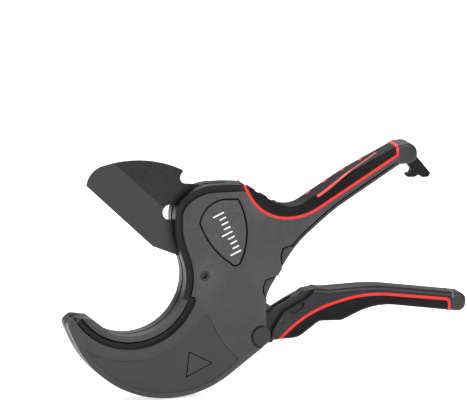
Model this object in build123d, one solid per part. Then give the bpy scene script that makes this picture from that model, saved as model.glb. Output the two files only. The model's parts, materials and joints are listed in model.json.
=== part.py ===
"""Ratchet pipe cutter for plastic pipe: two cast shells, a swinging blade and a squeeze handle.

Millimetres, upright as held: +X from the jaw towards the handle ends, +Z up, +Y through the
thickness to the far side.  The origin is the centre of the pipe throat in the middle plane.
Profiles are drawn as (x, z) and pulled along Y.  Angles of profiles run anticlockwise as seen
from the near side, which is a negative turn about +Y.
"""
from build123d import *
from math import acos, atan2, cos, degrees, hypot, radians, sin, tan
import os

# ---- clearances -----------------------------------------------------------------------------
RUN = 0.05
SEAT = 0.1
CLEAR = 0.4
BEYOND = 1.0

# ---- pipe, throat and shells -------------------------------------------------------------
PIPE_D = 63.0
THROAT_PLAY = 2.2
THROAT_R = PIPE_D / 2 + THROAT_PLAY
THROAT_START = 247.0
THROAT_BREAK = 20.0
LEDGE_START = 211.0
LEDGE_END = 339.0
SHELL_HALF = 10.0
RIM_HALF = 8.2
RIM_W = 4.4
EDGE_DROP = 1.6
EDGE_W = 2.6
LEDGE_W = 3.6
LEDGE_DROP = 1.3
GROOVE_R = 2.3
GROOVE_START = 214.0
GROOVE_END = 340.0
GROOVE_DEPTH = 2.4
GROOVE_SLOPE = 1.1
BODY_TOP = 55.5
BODY_BACK = 83.0
FRONT_X = 27.0
JAW_BOTTOM = (22.9, -72.9)
JAW_R = 64.0
JAW_CENTRE = (JAW_BOTTOM[0], JAW_BOTTOM[1] + JAW_R)
NOSE_REACH = 0.95206
NOSE_ANGLE = -166.28468
NOSE_TIP = (5.2, 4.3)
NOSE_INNER = (-25.0, -21.5)
NOSE_CORNER_R = 4.0
PANEL_DEPTH = 0.5
PANEL_INSET = 3.4

# ---- blade and ratchet -------------------------------------------------------------------
BLADE_PIVOT = (44.8, 0.9)
BLADE_T = 2.0
SLOT_PLAY = 0.25
BLADE_TIP = (-25.8, 57.5)
BLADE_HEEL = (15.1, 18.8)
BLADE_HOLE = (25.8, 39.1)
BLADE_HOLE_R = 4.6
BEVEL_W = 21.0
EDGE_T = 0.3
SWEEP_PLAY = 0.9
RATCHET_R = 41.0
TOOTH_DEPTH = 2.6
TOOTH_COUNT = 17
TOOTH_PITCH = 6.95
TOOTH_FIRST = 6.4
TOOTH_FACE = 1.2
OPEN_PITCHES = 3
CLOSE_PITCHES = 12
BLADE_REACH = 92.4
LOBE_R = 55.8
LOBE_END_R = 45.0
LOBE_END_ANGLE = 36.0

# ---- pivots and fasteners ----------------------------------------------------------------
PIVOT_R = 3.0
PIVOT_HEAD_R = 5.4
PIVOT_RECESS = 0.6
PIVOT_SINK = 2.6
PIVOT_SOCKET = 2.4
PIVOT_HEXAGON = 2.0
SOCKET_DEPTH = 1.6
PIN_END = SHELL_HALF - 4.1
SCREW_END = SHELL_HALF - 3.2
HANDLE_PIVOT = (80.5, -38.2)
HANDLE_PIN_R = 2.7
HANDLE_HEAD_R = 5.6
HEAD_T = 2.0
HEAD_LOW = SHELL_HALF - HEAD_T - SEAT
HEAD_HIGH = SHELL_HALF - 2 * SEAT
PIN_REACH = 0.7
HEAD_GAP = 1.5
BOSS_R = 6.2
SCREW_R = 2.0
SCREW_HEAD_R = 3.6
SCREW_SINK = 3.4
SCREW_HEAD_T = 2.4
SCREW_SPOTS = ((8.0, -60.0), (50.0, -55.5), (97.0, 23.5))
STOP_R = 2.0

# ---- pawls -------------------------------------------------------------------------------
PAWL_T = 4.0
PAWL_SLOT_HALF = 2.3
DRIVE_PIVOT = (93.2, -29.9)
DRIVE_PIN_R = 1.6
DRIVE_HUB_R = 3.8
DRIVE_L = 14.5
DRIVE_ANGLE = 133.3
DRIVE_RATIO = 2.2
DRIVE_NOSE = (1.5, 1.8)
HOLD_PIVOT_R = 47.5
HOLD_PIVOT_ANGLE = -64.5
HOLD_L = 16.9
HOLD_LIFT = 8.5
HOLD_ANGLE = 55.1
HOLD_HUB_R = 3.6
HOLD_PIN_R = 1.5
PAWL_COIL_R = 2.5

# ---- lower handle ------------------------------------------------------------------------
HANDLE_SWING = 34.0
SWING_SHARES = (0.0, 0.14, 0.28, 0.42, 0.56, 0.7, 0.85, 1.0)
CORE_HALF = 5.0
CHAMBER_HALF = CORE_HALF + CLEAR
EDGE_ROOM = 6.4
HUB_R = 5.9
CHAMBER_R = 28.6
FORK_R = 6.0
LOWER_HALF = 8.6
LOWER_ROUND = 3.2
LOWER_TONGUE_HALF = 4.6
LOWER_TONGUE = (100.0, 196.0)
LENS_DEPTH = 1.2
LOWER_CAP_X = 201.0

# ---- upper handle ------------------------------------------------------------------------
TRIM_W = 1.7
TRIM_PROUD = 0.25
UPPER_HALF = 9.6
UPPER_END = 166.5
TONGUE_HALF = 5.4
TONGUE_START = 84.0
TONGUE_COVER = 4.0
TONGUE_TAIL = 3.5
RUBBER_ROUND = 3.6
RIDGE_R = 1.7
RIDGE_PROUD = 0.6
RIDGE_X = (75.5, 83.5, 92.0)
CAP_TIP = 178.4

# ---- badge, latch ------------------------------------------------------------------------
BADGE_T = 1.4
BADGE_SINK = 0.2
BADGE_GAP = 0.55
LATCH_PIVOT = (173.8, 68.1)
LATCH_T = 5.0
LATCH_SLOT_HALF = 2.8
LATCH_PIN_R = 1.5
LATCH_HUB_R = 3.3

# ---- springs -----------------------------------------------------------------------------
WIRE_R = 0.6
COIL_PITCH = 1.3
BLADE_TURNS = 2
HANDLE_TURNS = 3
SPRING_ROOM = 3.0
BLADE_COIL_R = 5.2
HANDLE_COIL_R = 4.3
LEG_ANGLE = 198.0
LEG_L = 5.2
FINE_WIRE_R = 0.35
FINE_PITCH = 0.75
FINE_TURNS = 2
COIL_STEPS = 10

SLOT_HALF = BLADE_T / 2 + SLOT_PLAY
BLADE_SPRING_LEVEL = SLOT_HALF + WIRE_R + SEAT
FINE_SPRING_LEVEL = PAWL_T / 2 + 2 * FINE_WIRE_R
FINE_SPRING_TOP = FINE_SPRING_LEVEL + FINE_TURNS * FINE_PITCH + FINE_WIRE_R + RUN


# ---- drawing helpers ---------------------------------------------------------------------
def polar(centre, radius, angle):
    """Point at a radius and angle from a centre."""
    return (centre[0] + radius * cos(radians(angle)), centre[1] + radius * sin(radians(angle)))


def bearing(start, end):
    """Angle of the line from start to end."""
    return degrees(atan2(end[1] - start[1], end[0] - start[0]))


def sum_of(shapes):
    """Union of several profiles."""
    whole = Sketch()
    for shape in shapes:
        whole += shape
    return whole


def level_at(start, end, x):
    """Height at x of the line through two (x, z) points."""
    return start[1] + (end[1] - start[1]) * (x - start[0]) / (end[0] - start[0])


def slab(profile, low, high):
    """Solid of an (x, z) profile between two Y levels."""
    return extrude(Plane.XZ.offset(-high) * profile, high - low, dir=(0, -1, 0))


def through(profile, half):
    """Solid of an (x, z) profile, centred on the middle plane."""
    return slab(profile, -half, half)


def disc(centre, radius):
    """Round (x, z) profile."""
    return Pos(*centre) * Circle(radius)


def turned(shape, centre, angle):
    """Profile turned anticlockwise about a point."""
    return Pos(*centre) * Rot(Z=angle) * Pos(-centre[0], -centre[1]) * shape


def mirrored(solid):
    """The same solid on the other side of the middle plane."""
    return mirror(solid, about=Plane.XZ)


def closed(*paths):
    """Face bounded by paths in order, with straight lines across the gaps between them."""
    edges = []
    for index, path in enumerate(paths):
        following = paths[(index + 1) % len(paths)]
        edges += path.edges()
        if (path @ 1 - following @ 0).length > 1e-5:
            edges.append(Line(path @ 1, following @ 0).edge())
    face = make_face(edges).face()
    return Sketch() + (face if face.normal_at().Z > 0 else -face)


def shifted(points, radii, distance):
    """Points and corner radii of a rounded route moved sideways, positive to its left."""
    units = []
    for start, end in zip(points, points[1:]):
        length = hypot(end[0] - start[0], end[1] - start[1])
        units.append(((end[0] - start[0]) / length, (end[1] - start[1]) / length))
    first = (points[0][0] - units[0][1] * distance, points[0][1] + units[0][0] * distance)
    last = (points[-1][0] - units[-1][1] * distance, points[-1][1] + units[-1][0] * distance)
    moved = [first]
    moved_radii = []
    for point, before, after, radius in zip(points[1:-1], units, units[1:], radii):
        turn = before[0] * after[1] - before[1] * after[0]
        along = before[0] * after[0] + before[1] * after[1]
        scale = distance / (1 + along)
        moved.append((point[0] - (before[1] + after[1]) * scale, point[1] + (before[0] + after[0]) * scale))
        moved_radii.append(radius - distance if turn > 0 else radius + distance)
    return moved + [last], moved_radii


def route(points, radii, distance=0.0):
    """Rounded route, optionally moved sideways."""
    moved, moved_radii = shifted(points, radii, distance)
    return FilletPolyline(*moved, radius=moved_radii)


def backwards(points, radii, distance=0.0):
    """The same route walked from its end."""
    return route(points[::-1], radii[::-1], -distance)


def band(points, radii, inner, outer):
    """Strip between two sideways moves of one route."""
    return closed(route(points, radii, outer), backwards(points, radii, inner))


def up_to(path, level):
    """Region between a path and a level line above or below it."""
    return closed(path, Polyline(((path @ 1).X, level), ((path @ 0).X, level)))


def sector(centre, radius, start, end):
    """Pie slice from start angle to end angle."""
    arc = CenterArc(centre, radius, start, end - start)
    return closed(arc, Line(arc @ 1, centre))


def ring_sector(centre, inner, outer, start, end):
    """Slice of a ring."""
    far = CenterArc(centre, outer, start, end - start)
    near = CenterArc(centre, inner, end, start - end)
    return closed(far, near)


def bolt(centre, shank_r, low, high, head_r=0.0, head_low=0.0, head_high=0.0, socket=0.0):
    """Round pin along Y, with an optional head and hexagon socket on the head's +Y face."""
    solid = slab(disc(centre, shank_r), low, high)
    if head_r:
        head = slab(disc(centre, head_r), head_low, head_high)
        solid += chamfer(head.edges().filter_by(GeomType.CIRCLE), 0.35)
    if socket:
        top = max(high, head_high)
        solid -= slab(Pos(*centre) * RegularPolygon(socket, 6), top - SOCKET_DEPTH, top)
    return solid


def coil(radius, wire, turns, pitch):
    """Helical spring of square wire along +Z from the origin, with flat facets round each turn."""
    section = Rectangle(2 * wire, 2 * wire)
    sections = []
    for step in range(turns * COIL_STEPS + 1):
        turn = Rot(Z=step * 360.0 / COIL_STEPS) * Pos(radius, 0, pitch * step / COIL_STEPS)
        sections.append(turn * Rot(X=90) * section)
    return loft(sections, ruled=True)


def upright_on_y(solid, centre, level):
    """Place a part modelled along +Z so that it lies along +Y from a level."""
    return Pos(centre[0], level, centre[1]) * Rot(X=-90) * solid


# ---- shared routes -----------------------------------------------------------------------
FRONT_BREAK = polar((0.0, 0.0), THROAT_R, THROAT_BREAK)
FRONT_BEND = (FRONT_X, FRONT_BREAK[1] + (FRONT_BREAK[0] - FRONT_X) / tan(radians(THROAT_BREAK)))
FRONT_POINTS = [FRONT_BREAK, FRONT_BEND, (FRONT_X, 45.0), (42.5, BODY_TOP), (60.0, BODY_TOP)]
FRONT_RADII = [40.0, 15.0, 28.0]
TRIM_POINTS = [(69.4, 55.2), (80.4, 33.4), (107.4, 33.4), (UPPER_END, 69.0)]
TRIM_RADII = [27.0, 36.0]
GRIP_POINTS = [TRIM_POINTS[0], (93.8, 40.2), (104.2, 40.2), (136.0, 59.4), (UPPER_END, 74.5)]
GRIP_RADII = [20.0, 16.0, 150.0]
UNDER_POINTS = [(BODY_BACK, HANDLE_PIVOT[1] + 5.7), (BODY_BACK, -13.5), (102.0, 17.0), (126.0, 37.0),
                (UPPER_END, 62.0)]
UNDER_RADII = [26.0, 70.0, 120.0]
TRIM_TURN_X = UPPER_END - TRIM_W / 2
TRIM_TURN = [TRIM_POINTS[-2], (TRIM_TURN_X, level_at(*TRIM_POINTS[-2:], TRIM_TURN_X)), (TRIM_TURN_X - 0.3, 80.0)]
UPPER_TRIM_POINTS = TRIM_POINTS[:-2] + TRIM_TURN
UPPER_TRIM_RADII = TRIM_RADII + [1.6]
CAP_POINTS = [GRIP_POINTS[-1], (CAP_TIP, 75.8), (CAP_TIP, 66.2), (175.4, 62.8), (UPPER_END, 62.4)]
CAP_RADII = [6.0, 3.4, 3.4]
LATCH_POINTS = [(170.7, 67.0), (173.3, 62.6), (176.6, 57.8), (175.7, 55.9), (172.8, 55.2), (174.0, 53.4),
                (178.5, 53.2), (181.1, 54.5), (183.4, 52.8), (187.2, 52.9), (188.6, 55.2), (177.0, 69.4)]
CORE_TOP = [(84.5, -25.5), (97.3, -18.3), (105.4, -14.2)]
LOWER_POINTS = CORE_TOP + [(108.2, -12.0), (114.9, -10.8), (121.0, -11.8), (152.0, -10.9), (211.0, -19.3),
                           (209.6, -30.7), (153.0, -22.4), (131.5, -31.8), (117.5, -31.4), (104.2, -40.9),
                           (86.5, -41.4)]
LOWER_RADII = [30.0, 3.0, 4.0, 8.0, 16.0, 120.0, 5.0, 4.9, 45.0, 8.0, 6.0, 12.0]
LOWER_TRIM_POINTS = [(88.5, -43.8), (109.5, -24.4), (146.5, -15.0), (198.8, -21.9), (199.6, -34.0)]
LOWER_TRIM_RADII = [70.0, 76.0, 2.5]
CHEEK_POINTS = [(87.3, -60.0), (87.3, -41.0), (87.6, -35.6), (94.6, -24.4), (109.5, -16.8), (118.0, -9.0)]
CHEEK_RADII = [4.0, 6.0, 3.0, 3.0]
LENS_POINTS = [(95.8, -24.6), (108.2, -17.6), (106.4, -22.8), (100.9, -25.6)]


def boss_tangent():
    """Angle of the outer line that touches the jaw's back arc and the handle pivot's boss."""
    gap = hypot(HANDLE_PIVOT[0] - JAW_CENTRE[0], HANDLE_PIVOT[1] - JAW_CENTRE[1])
    return bearing(JAW_CENTRE, HANDLE_PIVOT) - degrees(acos((JAW_R - BOSS_R) / gap))


# ---- shell profiles ----------------------------------------------------------------------
def shell_outline():
    """Outline of a shell: jaw, body and the strip along the upper handle below the trim."""
    throat = CenterArc((0, 0), THROAT_R, THROAT_START, 360.0 + THROAT_BREAK - THROAT_START)
    front = route(FRONT_POINTS, FRONT_RADII)
    trim = route(TRIM_POINTS, TRIM_RADII, -TRIM_W / 2)
    under = backwards(UNDER_POINTS, UNDER_RADII)
    side_angle = degrees(acos((BODY_BACK - HANDLE_PIVOT[0]) / BOSS_R))
    tangent = boss_tangent()
    boss = CenterArc(HANDLE_PIVOT, BOSS_R, side_angle, tangent - side_angle)
    corner = polar(JAW_CENTRE, JAW_R + NOSE_REACH, NOSE_ANGLE)
    back_end = NOSE_ANGLE + degrees(acos(JAW_R / (JAW_R + NOSE_REACH))) - 360.0
    back = CenterArc(JAW_CENTRE, JAW_R, tangent, back_end - tangent)
    tip = (corner[0] + NOSE_TIP[0], corner[1] + NOSE_TIP[1])
    nose = route([polar(JAW_CENTRE, JAW_R, back_end), corner, tip, NOSE_INNER], [NOSE_CORNER_R] * 2)
    return closed(throat, front, trim, under, boss, back, nose)


def rim_band():
    """Lowered rim that follows the throat's upper part and the top of the body."""
    throat_part = ring_sector((0, 0), THROAT_R - 1, THROAT_R + RIM_W, LEDGE_END - 361.0, THROAT_BREAK)
    top = FRONT_POINTS[:-1] + [(TRIM_POINTS[0][0] + 2.0, BODY_TOP)]
    return throat_part + band(top, FRONT_RADII, -RIM_W, 1.0)


def blade_sweep(play):
    """Everything the blade passes over between its two stops."""
    first = LOBE_END_ANGLE - OPEN_PITCHES * TOOTH_PITCH - 4.0
    middle = first + 34.0
    last = bearing(BLADE_PIVOT, BLADE_HEEL) + CLOSE_PITCHES * TOOTH_PITCH + 4.0
    front = bearing(BLADE_PIVOT, BLADE_HEEL) - OPEN_PITCHES * TOOTH_PITCH - 40.0
    shape = disc(BLADE_PIVOT, RATCHET_R + play)
    shape += sector(BLADE_PIVOT, LOBE_END_R + 3.5 + play, first, middle)
    shape += sector(BLADE_PIVOT, LOBE_R + play, middle, last)
    shape += sector(BLADE_PIVOT, BLADE_REACH + play, front, last)
    return shape


def handle_chamber():
    """Space between the shells for the squeeze handle's core."""
    hub = disc(HANDLE_PIVOT, HUB_R + CLEAR)
    fan = sector(HANDLE_PIVOT, CHAMBER_R, -40.0, 90.0 + HANDLE_SWING)
    edge = band(UNDER_POINTS[:3], UNDER_RADII[:1], -3.0, EDGE_ROOM)
    edge &= Pos(BODY_BACK + 7.0, -8.0) * Rectangle(40.0, 46.0)
    return hub + fan + edge


def hold_pivot():
    """Pivot of the holding pawl, below the ratchet."""
    return polar(BLADE_PIVOT, HOLD_PIVOT_R, HOLD_PIVOT_ANGLE)


def stop_pin_spot():
    """Stop that the blade's rear lobe meets when the jaw is fully open."""
    radius = RATCHET_R + STOP_R + 0.7
    angle = LOBE_END_ANGLE - OPEN_PITCHES * TOOTH_PITCH - degrees((STOP_R + CLEAR) / radius)
    return polar(BLADE_PIVOT, radius, angle)


def badge_outline():
    """Shield shape with a round foot."""
    right = ThreePointArc((65.6, 46.6), (71.0, 28.0), (67.6, 9.0))
    foot = ThreePointArc((67.6, 9.0), (64.6, 6.2), (61.2, 7.6))
    left = ThreePointArc((61.2, 7.6), (49.6, 18.6), (41.8, 33.2))
    brow = ThreePointArc((41.8, 33.2), (47.4, 43.0), (57.0, 47.0))
    return closed(right, foot, left, brow)


def jaw_panel():
    """Shallow panel on the lower jaw, parallel to its back edge."""
    tangent = boss_tangent()
    edge = CenterArc(JAW_CENTRE, JAW_R - PANEL_INSET, tangent, 211.0 - 360.0 - tangent)
    upper = ThreePointArc(edge @ 1, (-1.1, -48.4), (41.4, -27.7))
    peak = ThreePointArc((41.4, -27.7), (45.4, -23.4), (48.8, -26.0))
    side = ThreePointArc((48.8, -26.0), (54.0, -36.6), (66.0, -50.8))
    return closed(edge, upper, peak, side)


def half_shell():
    """One shell, on the far side of the middle plane, before what only one of the pair has."""
    outline = shell_outline()
    solid = slab(outline, 0.0, SHELL_HALF)
    rounded = [e for e in solid.edges().filter_by_position(Axis.Y, SHELL_HALF - 0.01, SHELL_HALF + 0.01)
               if e.center().Z < -20.0 and (e.center().Z < -39.0 or e.center().X < -20.0)]
    solid = chamfer(rounded, EDGE_DROP, EDGE_W)
    solid -= slab(rim_band(), RIM_HALF, SHELL_HALF + BEYOND)
    solid -= underside_steps()
    solid -= throat_ledge()
    solid -= slab(blade_sweep(SWEEP_PLAY), -1.0, SLOT_HALF)
    solid -= slab(handle_chamber(), -1.0, CHAMBER_HALF)
    solid -= slab(pawl_pocket(), -1.0, PAWL_SLOT_HALF)
    solid -= slab(disc(hold_pivot(), PAWL_COIL_R + 3 * CLEAR), -BEYOND, FINE_SPRING_TOP)
    solid -= handle_pin_seat()
    solid -= slab(Pos(UPPER_END + 10.0, 68.0) * Rectangle(20.0, 30.0), -1.0, SHELL_HALF + BEYOND)
    solid += slab(tongue_outline(), 0.0, TONGUE_HALF)
    solid -= slab(disc(stop_pin_spot(), STOP_R + RUN), -BEYOND, PIN_END + SEAT)
    solid -= slab(disc(hold_pivot(), HOLD_PIN_R + RUN), -BEYOND, PIN_END + SEAT)
    return solid


def throat_ledge():
    """Cut of the lower throat: a step beside the pipe and a round groove behind it."""
    step = slab(ring_sector((0, 0), THROAT_R - 3, THROAT_R + LEDGE_W, LEDGE_START, LEDGE_END),
                SHELL_HALF - LEDGE_DROP, SHELL_HALF + BEYOND)
    centre = THROAT_R + LEDGE_W + GROOVE_R
    floor = SHELL_HALF - GROOVE_DEPTH
    end = polar((0, 0), centre, GROOVE_END)
    ring = ring_sector((0, 0), centre - GROOVE_R, centre + GROOVE_R, GROOVE_START, GROOVE_END)
    groove = slab(ring + disc(end, GROOVE_R), floor, SHELL_HALF + BEYOND)
    bottom = groove.edges().filter_by_position(Axis.Y, floor - 0.01, floor + 0.01)
    return step + chamfer(bottom, GROOVE_SLOPE)


def underside_steps():
    """Lowered strip along the underside and the two finger recesses beside it."""
    strip = band(UNDER_POINTS, UNDER_RADII, -1.0, 3.0) & Pos(150.0, 40.0) * Rectangle(114.0, 80.0)
    corner = Polygon((93.0, 15.4), (92.0, 10.3), (92.8, 4.2), (95.0, -2.0), (103.0, 8.0), (101.0, 17.5), align=None)
    notch = Polygon((91.0, -1.2), (82.7, -3.2), (80.8, -7.8), (81.0, -11.5), (84.5, -17.5), (92.0, -6.0), align=None)
    return slab(strip + corner + notch, RIM_HALF, SHELL_HALF + BEYOND)


def pawl_pocket():
    """Pocket for the holding pawl and for the free leg of the handle's spring."""
    pocket = sector(HANDLE_PIVOT, 10.5, 190.0, 190.0 + HANDLE_SWING + 16.0)
    for turn in (0.0, HOLD_LIFT / 2, HOLD_LIFT):
        pocket += hold_pawl_profile(turn, CLEAR)
    return pocket


def handle_pin_seat():
    """Bore and head recess of the squeeze handle's pivot, open to the corner of the shell."""
    bore = slab(disc(HANDLE_PIVOT, HANDLE_PIN_R + RUN), 0.0, SHELL_HALF + BEYOND)
    recess = slab(disc(HANDLE_PIVOT, HANDLE_HEAD_R + HEAD_GAP), HEAD_LOW - SEAT, SHELL_HALF + BEYOND)
    return bore + recess


def tongue_outline():
    """Narrow part of the shells that the rubber grip and the end cap sit on."""
    far = UPPER_END + 3 * TONGUE_TAIL
    top = GRIP_POINTS[:-1] + [(far, level_at(*GRIP_POINTS[-2:], far))]
    trim = TRIM_POINTS[:-1] + [(far, level_at(*TRIM_POINTS[-2:], far))]
    below = up_to(route(top, GRIP_RADII, -TONGUE_COVER), -60.0)
    above = up_to(route(trim, TRIM_RADII, -TRIM_W / 2 - 1.0), 120.0)
    end = UPPER_END + TONGUE_TAIL
    window = Pos((TONGUE_START + end) / 2, 50.0) * Rectangle(end - TONGUE_START, 80.0)
    return above & below & window


def near_shell():
    """Near shell: badge pocket and screw sockets."""
    solid = mirrored(half_shell())
    solid -= slab(offset(badge_outline(), BADGE_GAP), -SHELL_HALF - BEYOND, -SHELL_HALF + BADGE_T + BADGE_SINK)
    solid -= slab(jaw_panel(), -SHELL_HALF - BEYOND, -SHELL_HALF + PANEL_DEPTH)
    solid -= slab(disc(BLADE_PIVOT, PIVOT_R + RUN), -SHELL_HALF - BEYOND, 1)
    for spot in SCREW_SPOTS:
        solid -= slab(disc(spot, SCREW_R + RUN), -SCREW_END - 2 * SEAT, BEYOND)
    return solid


def far_shell():
    """Far shell: head recesses of the screws and the pocket of the blade's spring."""
    solid = half_shell()
    solid -= slab(jaw_panel(), SHELL_HALF - PANEL_DEPTH, SHELL_HALF + BEYOND)
    solid -= slab(disc(BLADE_PIVOT, PIVOT_R + RUN), -1, SHELL_HALF + BEYOND)
    solid -= slab(disc(BLADE_PIVOT, PIVOT_HEAD_R + CLEAR), SHELL_HALF - PIVOT_SINK, SHELL_HALF + BEYOND)
    spring_top = BLADE_SPRING_LEVEL + BLADE_TURNS * COIL_PITCH + WIRE_R
    solid -= slab(disc(BLADE_PIVOT, BLADE_COIL_R + WIRE_R + SPRING_ROOM), 0.0, spring_top + CLEAR + RUN)
    for spot in SCREW_SPOTS:
        solid -= slab(disc(spot, SCREW_R + RUN), -1, SHELL_HALF + BEYOND)
        solid -= slab(disc(spot, SCREW_HEAD_R + CLEAR), SHELL_HALF - SCREW_SINK, SHELL_HALF + BEYOND)
    return solid


# ---- upper handle ------------------------------------------------------------------------
def level_edges(solid, level):
    """Edges of a solid that lie in the two planes at a distance from the middle plane."""
    found = solid.edges().filter_by_position(Axis.Y, level - 0.01, level + 0.01)
    return found + solid.edges().filter_by_position(Axis.Y, -level - 0.01, -level + 0.01)


def upper_blank(grow=0.0):
    """Rounded bar over the upper handle, before it is divided among the pieces."""
    top = route(GRIP_POINTS, GRIP_RADII, grow)
    profile = closed(top, Polyline((UPPER_END, 20.0), (GRIP_POINTS[0][0] - 2.0, 20.0)))
    solid = through(profile, UPPER_HALF + grow)
    upright = [e for e in level_edges(solid, UPPER_HALF + grow) if abs((e % 0.5).X) > 0.5 and e.center().Z > 36.0]
    return fillet(upright, RUBBER_ROUND + grow)


def above_trim(distance):
    """Region of the upper handle on the rubber's side of the trim line."""
    path = route(UPPER_TRIM_POINTS, UPPER_TRIM_RADII, distance)
    return closed(path, Polyline(((path @ 0).X - 10, 80.0), ((path @ 0).X - 10, (path @ 0).Y)))


def tongues():
    """Both shells' tongues as one solid."""
    return through(tongue_outline(), TONGUE_HALF)


def upper_grip():
    """Rubber cover with three finger ridges."""
    solid = upper_blank() & through(above_trim(TRIM_W / 2), 12.0)
    top = route(GRIP_POINTS, GRIP_RADII)
    for x in RIDGE_X:
        spot = min((top @ (i / 400) for i in range(401)), key=lambda p: abs(p.X - x))
        ridge = through(disc((spot.X, spot.Y - RIDGE_R + RIDGE_PROUD), RIDGE_R), UPPER_HALF - RUBBER_ROUND)
        solid += ridge
    return solid - tongues()


def upper_trim():
    """Narrow coloured band between the shells and the rubber, turned up at the end cap."""
    path = band(UPPER_TRIM_POINTS, UPPER_TRIM_RADII, -TRIM_W / 2, TRIM_W / 2)
    return (upper_blank(TRIM_PROUD) & through(path, 12.0)) - tongues()


def upper_end_cap():
    """Cap over the handle's end, forked for the latch."""
    profile = closed(route(CAP_POINTS, CAP_RADII))
    solid = through(profile, UPPER_HALF)
    outer = [e for e in level_edges(solid, UPPER_HALF) if e.center().X > UPPER_END + 1.0]
    solid = fillet(outer, 2.2)
    window = Pos(UPPER_END + TONGUE_TAIL + CLEAR + 10.0, 62.0) * Rectangle(20.0, 20.5)
    solid -= through(window, LATCH_SLOT_HALF)
    solid -= through(disc(LATCH_PIVOT, LATCH_PIN_R + RUN), UPPER_HALF - 1.6)
    return solid - tongues()


def latch_profile():
    """Hook with a finger tail below its pivot."""
    return make_face(FilletPolyline(*LATCH_POINTS, radius=0.8, close=True)) + disc(LATCH_PIVOT, LATCH_HUB_R)


def latch_hook():
    """Swinging hook that holds the handles together."""
    return through(latch_profile(), LATCH_T / 2) - through(disc(LATCH_PIVOT, LATCH_PIN_R + RUN), LATCH_T)


# ---- blade -------------------------------------------------------------------------------
def blade_profile():
    """Cutting blade with its toothed tail and the slotted lobe behind."""
    tip_arc = ThreePointArc((-14.5, 69.2), (-22.4, 64.9), BLADE_TIP)
    edge = Polyline(BLADE_TIP, BLADE_HEEL, (38.6, 9.2), (37.6, 2.0))
    teeth_points = []
    for index in reversed(range(TOOTH_COUNT)):
        angle = TOOTH_FIRST - index * TOOTH_PITCH
        teeth_points.append(polar(BLADE_PIVOT, RATCHET_R - TOOTH_DEPTH, angle - TOOTH_FACE))
        teeth_points.append(polar(BLADE_PIVOT, RATCHET_R, angle))
    hub = ThreePointArc((37.6, 2.0), (40.6, -17.0), teeth_points[0])
    teeth = Polyline(*teeth_points)
    land = CenterArc(BLADE_PIVOT, RATCHET_R, TOOTH_FIRST, 22.0 - TOOTH_FIRST)
    slot_end = ThreePointArc((64.2, 7.9), (60.3, 10.2), (61.6, 12.9))
    lobe_start = polar(BLADE_PIVOT, LOBE_END_R, LOBE_END_ANGLE)
    lobe = ThreePointArc(lobe_start, polar(BLADE_PIVOT, 48.5, 62.0), (43.8, 55.2))
    notch = ThreePointArc((36.6, 55.9), (32.2, 59.4), (34.0, 63.2))
    back = ThreePointArc((33.5, 64.6), (8.9, 71.3), (-14.5, 69.2))
    return closed(edge, hub, teeth, land, slot_end, lobe, notch, back, tip_arc)


def grind(start, end):
    """Wedge that grinds one face of the blade towards an edge, from the heel side of x."""
    length = hypot(end[0] - start[0], end[1] - start[1])
    wedge = Polygon((-3.0, EDGE_T / 2 - 3.0 * (BLADE_T - EDGE_T) / 2 / BEVEL_W), (BEVEL_W, BLADE_T / 2),
                    (-3.0, BLADE_T), align=None)
    across = Vector(-(end[1] - start[1]) / length, 0, (end[0] - start[0]) / length)
    plane = Plane(origin=(start[0], 0, start[1]), x_dir=across, z_dir=across.cross(Vector(0, 1, 0)))
    bar = extrude(plane * wedge, 2 * length, both=True)
    return bar & through(Pos(-10.0, 40.0) * Rectangle(93.0, 120.0), 5.0)


def blade():
    """Blade ground on both faces."""
    profile = blade_profile()
    profile -= disc(BLADE_PIVOT, PIVOT_R + RUN)
    profile -= disc(BLADE_HOLE, BLADE_HOLE_R)
    ends = ((43.0, 41.8), (66.5, 29.4))
    profile -= Pos(54.75, 35.6) * Rot(Z=bearing(*ends)) * SlotCenterToCenter(26.0, 4.2)
    solid = through(profile, BLADE_T / 2)
    for start, end in ((BLADE_TIP, BLADE_HEEL), (BLADE_HEEL, (38.6, 9.2))):
        tool = grind(start, end)
        solid -= tool
        solid -= mirrored(tool)
    return solid


# ---- pawls -------------------------------------------------------------------------------
def drive_pawl_profile(turn=0.0, grow=0.0):
    """Pawl that pushes the blade's teeth, turned from its rest angle and grown all round."""
    hub = DRIVE_HUB_R + grow
    body = Polygon((0, hub - 0.3), (0, -hub + 0.1), (DRIVE_L - DRIVE_NOSE[0] + grow, -DRIVE_NOSE[1] - grow),
                   (DRIVE_L + grow, grow), align=None)
    return Pos(*DRIVE_PIVOT) * Rot(Z=DRIVE_ANGLE + turn) * (body + Circle(hub))


def drive_pawl():
    """Driving pawl with its pin bore."""
    return through(drive_pawl_profile() - disc(DRIVE_PIVOT, DRIVE_PIN_R + RUN), PAWL_T / 2)


def hold_pawl_profile(turn=0.0, grow=0.0):
    """Pawl that stops the blade from opening, turned from its lifted angle and grown all round."""
    hub = HOLD_HUB_R + grow
    body = Polygon((0, hub), (0, -hub), (HOLD_L + 0.7 + grow, -4.2 - grow), (HOLD_L + grow, grow),
                   (13.4, -1.0 + grow), (9.0, 0.9 + grow), (6.0, 2.0 + grow), align=None)
    return Pos(*hold_pivot()) * Rot(Z=HOLD_ANGLE + turn) * (body + Circle(hub))


def hold_pawl():
    """Holding pawl with its pin bore, lifted clear of the teeth."""
    return through(hold_pawl_profile() - disc(hold_pivot(), HOLD_PIN_R + RUN), PAWL_T / 2)


# ---- lower handle ------------------------------------------------------------------------
def lower_blank(grow=0.0):
    """Rounded bar of the whole lower handle, before it is divided among the pieces."""
    path = route(LOWER_POINTS, LOWER_RADII, grow)
    solid = through(closed(path), LOWER_HALF + grow)
    outer = [e for e in level_edges(solid, LOWER_HALF + grow) if e.center().X > 88.5]
    return fillet(outer, LOWER_ROUND + grow)


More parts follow.
